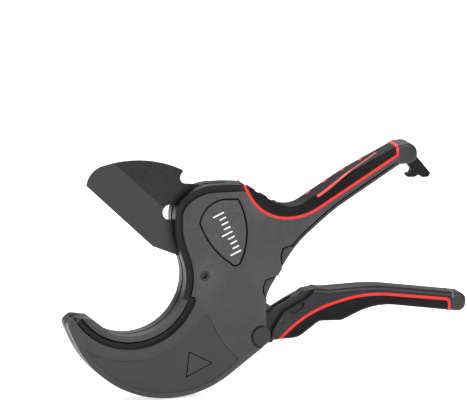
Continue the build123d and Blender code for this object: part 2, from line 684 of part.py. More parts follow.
def right_of_cheek():
    """Region to the right of the cheek's edge."""
    path = route(CHEEK_POINTS, CHEEK_RADII)
    return closed(path, Polyline((240.0, -9.0), (240.0, -60.0)))


def above_lower_trim(distance):
    """Region on the frame's side of the lower trim line."""
    path = route(LOWER_TRIM_POINTS, LOWER_TRIM_RADII, distance)
    return closed(path, Polyline((240.0, -34.0), (240.0, 10.0), (80.0, 10.0), (80.0, (path @ 0).Y)))


def below_lower_trim(distance):
    """Region on the rubber's side of the lower trim line."""
    path = route(LOWER_TRIM_POINTS, LOWER_TRIM_RADII, -distance)
    return closed(path, Polyline(((path @ 1).X, -70.0), ((path @ 0).X, -70.0)))


def lower_tongue():
    """Core of the frame under the rubber."""
    core = band(LOWER_TRIM_POINTS[:-1], LOWER_TRIM_RADII[:-1], -5.0, 1.5)
    start, end = LOWER_TONGUE
    return through(core & Pos((start + end) / 2, -25.0) * Rectangle(end - start, 60.0), LOWER_TONGUE_HALF)


def fork_slot():
    """Space in the handle's core for the toothed tail and both pawls, over the handle's swing."""
    fixed = disc(BLADE_PIVOT, RATCHET_R + SWEEP_PLAY) + hold_pawl_profile(0.0, CLEAR)
    fixed += hold_pawl_profile(HOLD_LIFT, CLEAR)
    slot = sum_of(turned(fixed, HANDLE_PIVOT, -share * HANDLE_SWING) for share in SWING_SHARES)
    slot -= disc(HANDLE_PIVOT, FORK_R)
    return slot + sum_of(drive_pawl_profile(-share * DRIVE_RATIO * HANDLE_SWING, 0.6) for share in SWING_SHARES)


def lower_handle_frame():
    """Moulded frame of the squeeze handle: forked core, cheeks and the core under the rubber."""
    solid = lower_blank() & through(right_of_cheek() & above_lower_trim(TRIM_W / 2), 12.0)
    core = Polygon((HANDLE_PIVOT[0], HANDLE_PIVOT[1] + HUB_R - 0.1), *CORE_TOP, (108.0, -28.0), (90.0, -44.0),
                   (HANDLE_PIVOT[0], HANDLE_PIVOT[1] - HUB_R + 0.1), align=None)
    solid += through(core & above_lower_trim(TRIM_W / 2), CORE_HALF)
    solid += through(disc(HANDLE_PIVOT, HUB_R), CORE_HALF)
    solid += lower_tongue()
    solid -= through(fork_slot(), PAWL_SLOT_HALF)
    solid -= through(disc(HANDLE_PIVOT, HANDLE_PIN_R + RUN), 20.0)
    solid -= through(disc(DRIVE_PIVOT, DRIVE_PIN_R + RUN), LOWER_HALF - 0.5)
    solid -= slab(disc(DRIVE_PIVOT, 1.25), -20.0, 0.0)
    lens = make_face(FilletPolyline(*LENS_POINTS, radius=0.9, close=True))
    for low, high in ((-LOWER_HALF - 1, -LOWER_HALF + LENS_DEPTH), (LOWER_HALF - LENS_DEPTH, LOWER_HALF + 1)):
        solid -= slab(lens, low, high)
    solid -= spring_pocket()
    solid -= slab(disc(DRIVE_PIVOT, PAWL_COIL_R + 0.9), PAWL_SLOT_HALF - SEAT, FINE_SPRING_TOP + SEAT)
    return solid - through(cap_window(), 12.0)


def cap_window():
    """Region of the lower handle's end cap."""
    return Pos(LOWER_CAP_X + 10.0, -20.0) * Rectangle(20.0, 40.0)


def lower_end_cap():
    """Rounded cap on the end of the squeeze handle."""
    return lower_blank() & through(cap_window(), 12.0)


def spring_pocket():
    """Pocket in the hub for the handle's spring, with a way out for its leg."""
    ring = disc(HANDLE_PIVOT, HANDLE_COIL_R + WIRE_R + 0.3)
    leg = turned(Pos(HANDLE_PIVOT[0] + 5.0, HANDLE_PIVOT[1]) * Rectangle(10.0, 2.2), HANDLE_PIVOT, LEG_ANGLE)
    return through(ring + leg, HANDLE_TURNS * COIL_PITCH / 2 + WIRE_R + CLEAR + RUN)


def lower_trim():
    """Narrow coloured band between the frame and the rubber, turned down at the end."""
    path = band(LOWER_TRIM_POINTS, LOWER_TRIM_RADII, -TRIM_W / 2, TRIM_W / 2)
    solid = lower_blank(TRIM_PROUD) & through(path & right_of_cheek(), 12.0)
    return solid - lower_tongue()


def lower_grip():
    """Rubber under the lower handle."""
    solid = lower_blank() & through(below_lower_trim(TRIM_W / 2) & right_of_cheek(), 12.0)
    return solid - lower_tongue()


# ---- pins, screws and springs ------------------------------------------------------------
def blade_pivot_screw():
    """Blade pivot with its head on the far side and a hexagon in its near end."""
    near_end = -SHELL_HALF + PIVOT_RECESS
    seat = SHELL_HALF - PIVOT_SINK + SEAT
    solid = bolt(BLADE_PIVOT, PIVOT_R, near_end, seat, PIVOT_HEAD_R, seat, SHELL_HALF - CLEAR, PIVOT_SOCKET)
    return solid - slab(Pos(*BLADE_PIVOT) * RegularPolygon(PIVOT_HEXAGON, 6), near_end - BEYOND,
                        near_end + SOCKET_DEPTH)


def handle_pivot_pin():
    """Handle pivot with its flat head on the near side."""
    low = -HEAD_LOW - PIN_REACH
    return mirrored(bolt(HANDLE_PIVOT, HANDLE_PIN_R, low, HEAD_LOW + SEAT, HANDLE_HEAD_R, HEAD_LOW, HEAD_HIGH))


def handle_pivot_nut():
    """Retainer on the far end of the handle pivot."""
    body = bolt(HANDLE_PIVOT, HANDLE_PIN_R, HEAD_LOW, HEAD_HIGH, HANDLE_HEAD_R, HEAD_LOW, HEAD_HIGH)
    return body - slab(disc(HANDLE_PIVOT, HANDLE_PIN_R + RUN), HEAD_LOW - BEYOND, HEAD_LOW + PIN_REACH + SEAT)


def body_screws():
    """The screws that hold the shells together."""
    low = SHELL_HALF - SCREW_SINK
    high = low + SCREW_HEAD_T
    return [bolt(spot, SCREW_R, -SCREW_END, low + SEAT, SCREW_HEAD_R, low, high, SCREW_R) for spot in SCREW_SPOTS]


def blade_return_spring():
    """Coil that opens the blade once the pawls let go."""
    return upright_on_y(coil(BLADE_COIL_R, WIRE_R, BLADE_TURNS, COIL_PITCH), BLADE_PIVOT, BLADE_SPRING_LEVEL)


def handle_return_spring():
    """Coil that opens the handle, with its leg against the shells."""
    low = -HANDLE_TURNS * COIL_PITCH / 2
    turns = upright_on_y(coil(HANDLE_COIL_R, WIRE_R, HANDLE_TURNS, COIL_PITCH), HANDLE_PIVOT, low)
    start = polar(HANDLE_PIVOT, HANDLE_COIL_R - 2 * SEAT, LEG_ANGLE)
    toward = Vector(cos(radians(LEG_ANGLE)), 0, sin(radians(LEG_ANGLE)))
    leg = extrude(Plane(origin=(start[0], 0, start[1]), z_dir=toward) * Circle(WIRE_R), LEG_L)
    return turns + leg


def pawl_spring(centre):
    """Small coil beside a pawl."""
    return upright_on_y(coil(PAWL_COIL_R, FINE_WIRE_R, FINE_TURNS, FINE_PITCH), centre, FINE_SPRING_LEVEL)


def main():
    """Build every node and write it to parts/."""
    os.makedirs("parts", exist_ok=True)
    pocket = -SHELL_HALF + BADGE_SINK
    nodes = {
        "near_shell": near_shell(),
        "far_shell": far_shell(),
        "badge_plate": slab(badge_outline(), pocket, pocket + BADGE_T),
        "upper_grip": upper_grip(),
        "upper_trim": upper_trim(),
        "upper_end_cap": upper_end_cap(),
        "latch_hook": latch_hook(),
        "latch_pin": through(disc(LATCH_PIVOT, LATCH_PIN_R), UPPER_HALF - 1.7),
        "blade": blade(),
        "blade_return_spring": blade_return_spring(),
        "blade_pivot_screw": blade_pivot_screw(),
        "blade_stop_pin": through(disc(stop_pin_spot(), STOP_R), PIN_END),
        "body_screws": Compound(body_screws()),
        "handle_pivot_pin": handle_pivot_pin(),
        "handle_pivot_nut": handle_pivot_nut(),
        "drive_pawl": drive_pawl(),
        "drive_pawl_pin": through(disc(DRIVE_PIVOT, DRIVE_PIN_R), LOWER_HALF - 0.6),
        "hold_pawl": hold_pawl(),
        "hold_pawl_pin": through(disc(hold_pivot(), HOLD_PIN_R), PIN_END),
        "hold_pawl_spring": pawl_spring(hold_pivot()),
        "drive_pawl_spring": pawl_spring(DRIVE_PIVOT),
        "lower_handle_frame": lower_handle_frame(),
        "lower_trim": lower_trim(),
        "lower_grip": lower_grip(),
        "lower_end_cap": lower_end_cap(),
        "handle_return_spring": handle_return_spring(),
    }
    for name, solid in nodes.items():
        export_step(solid, f"parts/{name}.step")


main()
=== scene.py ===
"""Looks of the ratchet pipe cutter: finishes of every piece, small surface detail, light and camera."""

import json
import logging
import math
from dataclasses import dataclass, field
from enum import Enum

import bmesh
import bpy
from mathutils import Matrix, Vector
from mathutils.bvhtree import BVHTree

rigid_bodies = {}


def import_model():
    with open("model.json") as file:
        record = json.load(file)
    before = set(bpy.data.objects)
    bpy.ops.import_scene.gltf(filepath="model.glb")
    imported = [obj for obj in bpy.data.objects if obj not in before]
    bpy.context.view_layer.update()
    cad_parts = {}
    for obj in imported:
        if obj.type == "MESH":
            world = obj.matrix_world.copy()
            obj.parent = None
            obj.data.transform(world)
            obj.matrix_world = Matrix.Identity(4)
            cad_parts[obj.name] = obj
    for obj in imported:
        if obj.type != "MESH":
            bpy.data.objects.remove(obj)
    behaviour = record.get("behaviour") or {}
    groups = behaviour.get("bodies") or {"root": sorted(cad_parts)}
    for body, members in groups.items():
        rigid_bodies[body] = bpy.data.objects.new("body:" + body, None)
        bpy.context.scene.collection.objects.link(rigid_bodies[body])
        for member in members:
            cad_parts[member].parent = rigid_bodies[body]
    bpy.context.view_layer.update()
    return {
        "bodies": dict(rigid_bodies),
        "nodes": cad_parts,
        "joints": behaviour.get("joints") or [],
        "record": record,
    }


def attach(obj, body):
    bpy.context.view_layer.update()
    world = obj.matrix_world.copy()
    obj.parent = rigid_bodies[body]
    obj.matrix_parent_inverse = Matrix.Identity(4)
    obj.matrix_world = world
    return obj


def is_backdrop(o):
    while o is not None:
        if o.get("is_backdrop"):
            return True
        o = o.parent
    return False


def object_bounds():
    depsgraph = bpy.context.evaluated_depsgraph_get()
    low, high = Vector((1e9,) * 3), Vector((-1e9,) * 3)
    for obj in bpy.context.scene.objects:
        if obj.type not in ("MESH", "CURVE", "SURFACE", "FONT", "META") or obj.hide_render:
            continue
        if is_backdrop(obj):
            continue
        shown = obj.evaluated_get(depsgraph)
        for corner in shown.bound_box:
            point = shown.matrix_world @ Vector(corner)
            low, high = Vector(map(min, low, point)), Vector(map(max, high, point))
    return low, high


LOG = logging.getLogger("pipe_cutter")
MM = 0.001


class Grain(Enum):
    """Surface texture that a finish carries."""

    CAST = "cast"
    BRUSHED = "brushed"
    MOULDED = "moulded"
    RUBBER = "rubber"
    PLAIN = "plain"


@dataclass(frozen=True)
class Finish:
    """One finish of the tool, from which a material is built.

    Args:
        name: Material name.
        color: Linear base colour.
        roughness: Mean roughness.
        metallic: 1 for bare metal, 0 for coats, plastic and rubber.
        grain: Surface texture.
        grain_size: Size of the texture's features, in metres.
        bump: Height of the texture's relief, in metres.
        variation: How far the colour wanders over the surface, as a share.
        edge_light: How much lighter convex edges are, as a share: partly wear, partly a painted highlight.
        coat: Clear coat weight.
        gloss: Specular level of the shader, 0.5 for a plain dielectric.
    """

    name: str
    color: tuple[float, float, float]
    roughness: float
    metallic: float = 0.0
    grain: Grain = Grain.PLAIN
    grain_size: float = 0.0005
    bump: float = 0.00001
    variation: float = 0.10
    edge_light: float = 0.0
    coat: float = 0.0
    gloss: float = 0.22


SHELL_COAT = Finish("shell_coat", (0.046, 0.046, 0.047), 0.40, grain=Grain.CAST, bump=0.00003,
                    edge_light=0.9, coat=0.05)
BADGE_COAT = Finish("badge_coat", (0.040, 0.040, 0.041), 0.36, grain=Grain.CAST, variation=0.08,
                    edge_light=0.8, coat=0.1)
BLADE_BLACK = Finish("blade_black", (0.012, 0.012, 0.013), 0.33, metallic=0.2, grain=Grain.BRUSHED,
                     grain_size=0.0006, variation=0.12, edge_light=0.5)
PIN_STEEL = Finish("pin_steel", (0.034, 0.034, 0.036), 0.36, metallic=0.5, grain=Grain.BRUSHED,
                   edge_light=0.8)
SPRING_WIRE = Finish("spring_wire", (0.42, 0.42, 0.44), 0.30, metallic=1.0, grain=Grain.BRUSHED,
                     grain_size=0.0003, edge_light=0.3)
GRIP_RUBBER = Finish("grip_rubber", (0.0045, 0.0045, 0.005), 0.56, grain=Grain.RUBBER, grain_size=0.0004,
                     bump=0.00002, variation=0.12, edge_light=0.3, gloss=0.12)
HANDLE_BLACK = Finish("handle_black", (0.015, 0.015, 0.017), 0.30, grain=Grain.MOULDED, edge_light=0.6)
CAP_GREY = Finish("cap_grey", (0.030, 0.031, 0.032), 0.36, grain=Grain.MOULDED, bump=0.00002,
                  edge_light=0.6)
LATCH_BLACK = Finish("latch_black", (0.0035, 0.0035, 0.0035), 0.42, grain=Grain.MOULDED, edge_light=0.4,
                     gloss=0.12)
TRIM_RED = Finish("trim_red", (0.74, 0.024, 0.018), 0.32, grain_size=0.0008, variation=0.05,
                  edge_light=0.1, coat=0.1)
STRIPE_PINK = Finish("stripe_pink", (0.80, 0.105, 0.10), 0.36, grain_size=0.0008, variation=0.05)
MARK_WHITE = Finish("mark_white", (0.84, 0.84, 0.84), 0.5, variation=0.04)
# Painted highlight: light grey for the line where light catches the lower end cap's step.
HIGHLIGHT_GREY = Finish("highlight_grey", (0.20, 0.20, 0.21), 0.4)
# Painted shade: near-black for lines where the badge's edge, the jaw's debossed mark and the underside's
# steps throw shade.
PAINTED_SHADE = Finish("painted_shade", (0.002, 0.002, 0.002), 0.55, gloss=0.05)
# Painted shade: near-black for the shells' concave rim and groove, where shade falls in them.
RIM_SHADE = (0.0025, 0.0025, 0.003)
GROUND_GREY = (0.040, 0.040, 0.042)

Point = tuple[float, float]


@dataclass(frozen=True)
class RimPlace:
    """Where the shells' rim and groove lie, in metres; they are painted black there as shade.

    Each field is the value at which the mask starts and the value at which it is full.

    Args:
        sunk: Distance from the middle plane, for the lowered rim.
        top: Height of the rim over the body.
        back: Place along the tool at which the rim over the body ends.
        throat: Distance from the throat's centre, for the rim round it.
        throat_foot: Height of the lower end of the rim round the throat.
        groove_inner: Inner radius of the groove.
        groove_outer: Outer radius of the groove.
        groove_face: Distance from the middle plane, for the groove.
        groove_top: Height of the groove's upper end.
    """

    sunk: Point = (0.0088, 0.0083)
    top: Point = (0.006, 0.008)
    back: Point = (0.074, 0.066)
    throat: Point = (0.0390, 0.0384)
    throat_foot: Point = (-0.022, -0.012)
    groove_inner: Point = (0.0371, 0.0374)
    groove_outer: Point = (0.0420, 0.0417)
    groove_face: Point = (0.0099, 0.0094)
    groove_top: Point = (0.004, -0.004)


class ShaderGroups:
    """Node groups that several finishes share."""

    MOTTLE_SCALE = 38.0
    EDGE_NOISE_SCALE = 420.0
    BRUSH_STRETCH = 0.03
    SIDE_BLEND = 0.0003
    EDGE_LOW = 0.52
    EDGE_HIGH = 0.62

    def __init__(self) -> None:
        """Build each group once."""
        self.grain = self._grain_group()
        self.edges = self._edge_group()
        self.brush = self._brush_group()
        self.rim = self._rim_shade_group()
        self.side = self._side_group()

    @staticmethod
    def _group(name: str, inputs: dict[str, float], outputs: tuple[str, ...]) -> bpy.types.NodeTree:
        """Make an empty group with named number sockets.

        Args:
            name: Group name.
            inputs: Default value of each input.
            outputs: Name of each output.

        Returns:
            The new node tree.
        """
        tree = bpy.data.node_groups.new(name, "ShaderNodeTree")
        for label, value in inputs.items():
            socket = tree.interface.new_socket(label, in_out="INPUT", socket_type="NodeSocketFloat")
            socket.default_value = value
        for label in outputs:
            tree.interface.new_socket(label, in_out="OUTPUT", socket_type="NodeSocketFloat")
        return tree

    def _grain_group(self) -> bpy.types.NodeTree:
        """Cast or moulded grain: a height, and a slow mottling mask.

        Returns:
            The group, with outputs Height and Mottle.
        """
        tree = self._group("grain", {"Size": 0.001, "Detail": 3.0}, ("Height", "Mottle"))
        nodes, links = tree.nodes, tree.links
        source, sink = nodes.new("NodeGroupInput"), nodes.new("NodeGroupOutput")
        coords = nodes.new("ShaderNodeTexCoord")
        inverse = nodes.new("ShaderNodeMath")
        inverse.operation = "DIVIDE"
        inverse.inputs[0].default_value = 1.0
        links.new(source.outputs["Size"], inverse.inputs[1])
        fine = nodes.new("ShaderNodeTexNoise")
        links.new(coords.outputs["Object"], fine.inputs["Vector"])
        links.new(inverse.outputs[0], fine.inputs["Scale"])
        links.new(source.outputs["Detail"], fine.inputs["Detail"])
        slow = nodes.new("ShaderNodeTexNoise")
        slow.inputs["Scale"].default_value = self.MOTTLE_SCALE
        slow.inputs["Detail"].default_value = 4.0
        slow.inputs["Roughness"].default_value = 0.6
        links.new(coords.outputs["Object"], slow.inputs["Vector"])
        links.new(fine.outputs["Fac"], sink.inputs["Height"])
        links.new(slow.outputs["Fac"], sink.inputs["Mottle"])
        return tree

    def _edge_group(self) -> bpy.types.NodeTree:
        """Mask of convex edges, lightened partly as wear and partly as a painted highlight where they catch
        light.

        Returns:
            The group, with output Edge.
        """
        tree = self._group("lit_wear_edges", {"Low": self.EDGE_LOW, "High": self.EDGE_HIGH}, ("Edge",))
        nodes, links = tree.nodes, tree.links
        source, sink = nodes.new("NodeGroupInput"), nodes.new("NodeGroupOutput")
        geometry = nodes.new("ShaderNodeNewGeometry")
        ramp = nodes.new("ShaderNodeMapRange")
        links.new(geometry.outputs["Pointiness"], ramp.inputs["Value"])
        links.new(source.outputs["Low"], ramp.inputs["From Min"])
        links.new(source.outputs["High"], ramp.inputs["From Max"])
        noise = nodes.new("ShaderNodeTexNoise")
        noise.inputs["Scale"].default_value = self.EDGE_NOISE_SCALE
        coords = nodes.new("ShaderNodeTexCoord")
        links.new(coords.outputs["Object"], noise.inputs["Vector"])
        product = nodes.new("ShaderNodeMath")
        product.operation = "MULTIPLY"
        links.new(ramp.outputs["Result"], product.inputs[0])
        links.new(noise.outputs["Fac"], product.inputs[1])
        links.new(product.outputs[0], sink.inputs["Edge"])
        return tree

    def _brush_group(self) -> bpy.types.NodeTree:
        """Fine parallel grinding lines.

        Returns:
            The group, with outputs Height and Streak.
        """
        tree = self._group("brushed", {"Size": 0.0005, "Angle": 0.7}, ("Height", "Streak"))
        nodes, links = tree.nodes, tree.links
        source, sink = nodes.new("NodeGroupInput"), nodes.new("NodeGroupOutput")
        coords = nodes.new("ShaderNodeTexCoord")
        rotate = nodes.new("ShaderNodeVectorRotate")
        rotate.rotation_type = "Y_AXIS"
        links.new(coords.outputs["Object"], rotate.inputs["Vector"])
        links.new(source.outputs["Angle"], rotate.inputs["Angle"])
        stretch = nodes.new("ShaderNodeVectorMath")
        stretch.operation = "MULTIPLY"
        stretch.inputs[1].default_value = (1.0, 1.0, self.BRUSH_STRETCH)
        links.new(rotate.outputs["Vector"], stretch.inputs[0])
        inverse = nodes.new("ShaderNodeMath")
        inverse.operation = "DIVIDE"
        inverse.inputs[0].default_value = 1.0
        links.new(source.outputs["Size"], inverse.inputs[1])
        lines = nodes.new("ShaderNodeTexNoise")
        lines.inputs["Detail"].default_value = 4.0
        links.new(stretch.outputs["Vector"], lines.inputs["Vector"])
        links.new(inverse.outputs[0], lines.inputs["Scale"])
        links.new(lines.outputs["Fac"], sink.inputs["Height"])
        links.new(lines.outputs["Fac"], sink.inputs["Streak"])
        return tree

    @staticmethod
    def _math(tree: bpy.types.NodeTree, operation: str,
              *values: bpy.types.NodeSocket | float) -> bpy.types.NodeSocket:
        """Add a math node.

        Args:
            tree: The tree it goes into.
            operation: Math operation.
            values: Sockets or numbers for its inputs.

        Returns:
            The node's output.
        """
        node = tree.nodes.new("ShaderNodeMath")
        node.operation = operation
        for socket, value in zip(node.inputs, values):
            if isinstance(value, bpy.types.NodeSocket):
                tree.links.new(value, socket)
            else:
                socket.default_value = value
        return node.outputs[0]

    @staticmethod
    def _step(tree: bpy.types.NodeTree, value: bpy.types.NodeSocket, low: float,
              high: float) -> bpy.types.NodeSocket:
        """Smooth step of a value, 0 at low and 1 at high.

        Args:
            tree: The tree it goes into.
            value: The value to step.
            low: Where the step starts.
            high: Where the step ends.

        Returns:
            The stepped value.
        """
        ramp = tree.nodes.new("ShaderNodeMapRange")
        ramp.interpolation_type = "SMOOTHSTEP"
        ramp.inputs["From Min"].default_value = low
        ramp.inputs["From Max"].default_value = high
        tree.links.new(value, ramp.inputs["Value"])
        return ramp.outputs["Result"]

    def _rim_shade_group(self) -> bpy.types.NodeTree:
        """Mask of painted shade: the rim round the throat and over the top, and the groove behind the jaw's
        ledge, painted black where shade falls in them.

        Returns:
            The group, with output Rim.
        """
        tree = self._group("rim", {}, ("Rim",))
        sink = tree.nodes.new("NodeGroupOutput")
        coords = tree.nodes.new("ShaderNodeTexCoord")
        split = tree.nodes.new("ShaderNodeSeparateXYZ")
        tree.links.new(coords.outputs["Object"], split.inputs[0])
        x, y, z = split.outputs
        depth = self._math(tree, "ABSOLUTE", y)
        flat = self._math(tree, "MULTIPLY", x, x)
        radius = self._math(tree, "SQRT", self._math(tree, "ADD", flat, self._math(tree, "MULTIPLY", z, z)))
        place = RimPlace()
        sunk = self._step(tree, depth, *place.sunk)
        above = self._math(tree, "MULTIPLY", self._step(tree, z, *place.top),
                           self._step(tree, x, *place.back))
        beside_throat = self._math(tree, "MULTIPLY", self._step(tree, radius, *place.throat),
                                   self._step(tree, z, *place.throat_foot))
        band = self._math(tree, "MULTIPLY", sunk, self._math(tree, "MAXIMUM", above, beside_throat))
        ring = self._math(tree, "MULTIPLY", self._step(tree, radius, *place.groove_inner),
                          self._step(tree, radius, *place.groove_outer))
        low = self._math(tree, "MULTIPLY", ring, self._step(tree, depth, *place.groove_face))
        groove = self._math(tree, "MULTIPLY", low, self._step(tree, z, *place.groove_top))
        tree.links.new(self._math(tree, "MAXIMUM", band, groove), sink.inputs["Rim"])
        return tree

    def _side_group(self) -> bpy.types.NodeTree:
        """Mask of one side of a straight line in the side view.

        Returns:
            The group, with output Side.
        """
        tree = self._group("side", {"X": 0.0, "Z": 0.0, "Angle": 0.0}, ("Side",))
        source, sink = tree.nodes.new("NodeGroupInput"), tree.nodes.new("NodeGroupOutput")
        coords = tree.nodes.new("ShaderNodeTexCoord")
        split = tree.nodes.new("ShaderNodeSeparateXYZ")
        tree.links.new(coords.outputs["Object"], split.inputs[0])
        x, z, angle = (source.outputs[label] for label in ("X", "Z", "Angle"))
        across = self._math(tree, "MULTIPLY", self._math(tree, "SUBTRACT", split.outputs[0], x),
                            self._math(tree, "COSINE", angle))
        up = self._math(tree, "MULTIPLY", self._math(tree, "SUBTRACT", split.outputs[2], z),
                        self._math(tree, "SINE", angle))
        reach = self._math(tree, "ADD", across, up)
        tree.links.new(self._step(tree, reach, -self.SIDE_BLEND, self.SIDE_BLEND), sink.inputs["Side"])
        return tree


class Workshop:
    """Builds materials from finishes and keeps one of each."""

    COAT_ROUGHNESS = 0.25
    ROUGHNESS_SPREAD = 0.05
    NOISE_LOW = 0.3
    NOISE_HIGH = 0.7
    LIT_WEAR_LIFT = 0.01

    def __init__(self) -> None:
        """Build the shared shader groups."""
        self.groups = ShaderGroups()
        self.made: dict[str, bpy.types.Material] = {}

    def material(self, finish: Finish) -> bpy.types.Material:
        """Return the material of a finish, made once.

        Args:
            finish: The finish to build.

        Returns:
            The material.
        """
        if finish.name not in self.made:
            self.made[finish.name] = self._build(finish)
        return self.made[finish.name]

    def _build(self, finish: Finish) -> bpy.types.Material:
        """Build a finish's node tree.

        Args:
            finish: The finish to build.

        Returns:
            The new material.
        """
        material = bpy.data.materials.new(finish.name)
        material.use_nodes = True
        tree = material.node_tree
        nodes, links = tree.nodes, tree.links
        shader = nodes["Principled BSDF"]
        shader.inputs["Metallic"].default_value = finish.metallic
        shader.inputs["Coat Weight"].default_value = finish.coat
        shader.inputs["Coat Roughness"].default_value = self.COAT_ROUGHNESS
        shader.inputs["Specular IOR Level"].default_value = finish.gloss
        shader.inputs["Base Color"].default_value = (*finish.color, 1.0)
        brushed = finish.grain is Grain.BRUSHED
        texture = nodes.new("ShaderNodeGroup")
        texture.node_tree = self.groups.brush if brushed else self.groups.grain
        texture.inputs["Size"].default_value = finish.grain_size
        mask = texture.outputs["Streak" if brushed else "Mottle"]
        shade = self._map(nodes, links, mask, 1.0 - finish.variation, 1.0 + finish.variation)
        base = nodes.new("ShaderNodeMix")
        base.data_type = "RGBA"
        base.blend_type = "MULTIPLY"
        base.inputs["Factor"].default_value = 1.0
        base.inputs["A"].default_value = (*finish.color, 1.0)
        links.new(shade, base.inputs["B"])
        color = base.outputs["Result"]
        # Convex edges get lighter: partly wear, partly a painted highlight where edges catch light.
        if finish.edge_light:
            color = self._lit_wear(nodes, links, finish, color)
        links.new(color, shader.inputs["Base Color"])
        rough = self._map(nodes, links, mask, finish.roughness - self.ROUGHNESS_SPREAD,
                          finish.roughness + self.ROUGHNESS_SPREAD)
        links.new(rough, shader.inputs["Roughness"])
        bump = nodes.new("ShaderNodeBump")
        bump.inputs["Distance"].default_value = finish.bump
        bump.inputs["Strength"].default_value = 1.0
        links.new(texture.outputs["Height"], bump.inputs["Height"])
        links.new(bump.outputs["Normal"], shader.inputs["Normal"])
        return material

    def _map(self, nodes: bpy.types.Nodes, links: bpy.types.NodeLinks, value: bpy.types.NodeSocket,
             low: float, high: float) -> bpy.types.NodeSocket:
        """Map the middle range of a noise onto two values.

        Args:
            nodes: The material's nodes.
            links: The material's links.
            value: The noise's output.
            low: Value at the noise's low end.
            high: Value at the noise's high end.

        Returns:
            The mapped output.
        """
        ramp = nodes.new("ShaderNodeMapRange")
        ramp.inputs["From Min"].default_value = self.NOISE_LOW
        ramp.inputs["From Max"].default_value = self.NOISE_HIGH
        ramp.inputs["To Min"].default_value = low
        ramp.inputs["To Max"].default_value = high
        links.new(value, ramp.inputs["Value"])
        return ramp.outputs["Result"]

    def _lit_wear(self, nodes: bpy.types.Nodes, links: bpy.types.NodeLinks, finish: Finish,
              color: bpy.types.NodeSocket) -> bpy.types.NodeSocket:
        """Lighten a colour along convex edges: partly wear, partly a painted highlight.

        Args:
            nodes: The material's nodes.
            links: The material's links.
            finish: The finish, for its colour and how much lighter its edges get.
            color: The colour output to lighten.

        Returns:
            The lightened colour output.
        """
        edges = nodes.new("ShaderNodeGroup")
        edges.node_tree = self.groups.edges
        lit_wear = nodes.new("ShaderNodeMix")
        lit_wear.data_type = "RGBA"
        links.new(edges.outputs["Edge"], lit_wear.inputs["Factor"])
        links.new(color, lit_wear.inputs["A"])
        gain = 1.0 + finish.edge_light
        light = (min(1.0, value * gain + self.LIT_WEAR_LIFT) for value in finish.color)
        lit_wear.inputs["B"].default_value = (*light, 1.0)
        return lit_wear.outputs["Result"]

    def masked_second_colour(self, finish: Finish, name: str, group: bpy.types.NodeTree, output: str,
                    tone: tuple[float, float, float], **inputs: float) -> bpy.types.Material:
        """Build a finish with a second colour where a mask group is 1.

        Args:
            finish: The main finish.
            name: Name of the new material.
            group: Mask group.
            output: The mask's output in the group.
            tone: Linear colour where the mask is 1.
            inputs: Values of the group's inputs.

        Returns:
            The new material.
        """
        material = self._build(finish)
        material.name = name
        nodes, links = material.node_tree.nodes, material.node_tree.links
        shader = nodes["Principled BSDF"]
        first = shader.inputs["Base Color"].links[0].from_socket
        mask = nodes.new("ShaderNodeGroup")
        mask.node_tree = group
        for label, value in inputs.items():
            mask.inputs[label].default_value = value
        blend = nodes.new("ShaderNodeMix")
        blend.data_type = "RGBA"
        blend.inputs["B"].default_value = (*tone, 1.0)
        links.new(mask.outputs[output], blend.inputs["Factor"])
        links.new(first, blend.inputs["A"])
        links.new(blend.outputs["Result"], shader.inputs["Base Color"])
        return material


def paint(node: bpy.types.Object, material: bpy.types.Material) -> None:
    """Give every slot of an object one material.

    Args:
        node: The object.
        material: The material it gets.
    """
    if not node.material_slots:
        node.data.materials.append(material)
    for slot in node.material_slots:
        slot.material = material


def new_piece(name: str, shape: bmesh.types.BMesh) -> bpy.types.Object:
    """Turn a finished shape into an object in the scene.

    Args:
        name: Object name.
        shape: The shape, which is freed.

    Returns:
        The new mesh object.
    """
    bmesh.ops.recalc_face_normals(shape, faces=shape.faces)
    mesh = bpy.data.meshes.new(name)
    shape.to_mesh(mesh)
    shape.free()
    piece = bpy.data.objects.new(name, mesh)
    bpy.context.scene.collection.objects.link(piece)
    return piece


def prism(name: str, outline: list[Point], low: float, high: float) -> bpy.types.Object:
    """Solid of an (x, z) outline between two y levels.

    Args:
        name: Object name.
        outline: Corner points, in metres, in order round the outline.
        low: Nearer y level.
        high: Farther y level.

    Returns:
        The new mesh object.
    """
    shape = bmesh.new()
    near = [shape.verts.new((x, low, z)) for x, z in outline]
    far = [shape.verts.new((x, high, z)) for x, z in outline]
    shape.faces.new(near)
    shape.faces.new(far[::-1])
    count = len(outline)
    for index in range(count):
        after = (index + 1) % count
        shape.faces.new((near[after], near[index], far[index], far[after]))
    return new_piece(name, shape)


def bar(name: str, sections: list[list[Vector]], closed: bool = False) -> bpy.types.Object:
    """Four-sided bar through sections of four points each.

    Args:
        name: Object name.
        sections: The four corners of each section, in metres.
        closed: Whether the last section lies on the first.

    Returns:
        The new mesh object.
    """
    shape = bmesh.new()
    rows = [[shape.verts.new(corner) for corner in section] for section in sections]
    for first, second in zip(rows, rows[1:]):
        for side in range(4):
            after = (side + 1) % 4
            shape.faces.new((first[side], first[after], second[after], second[side]))
    if closed:
        bmesh.ops.remove_doubles(shape, verts=shape.verts, dist=MM / 1000)
    else:
        shape.faces.new(rows[0][::-1])
        shape.faces.new(rows[-1])
    return new_piece(name, shape)


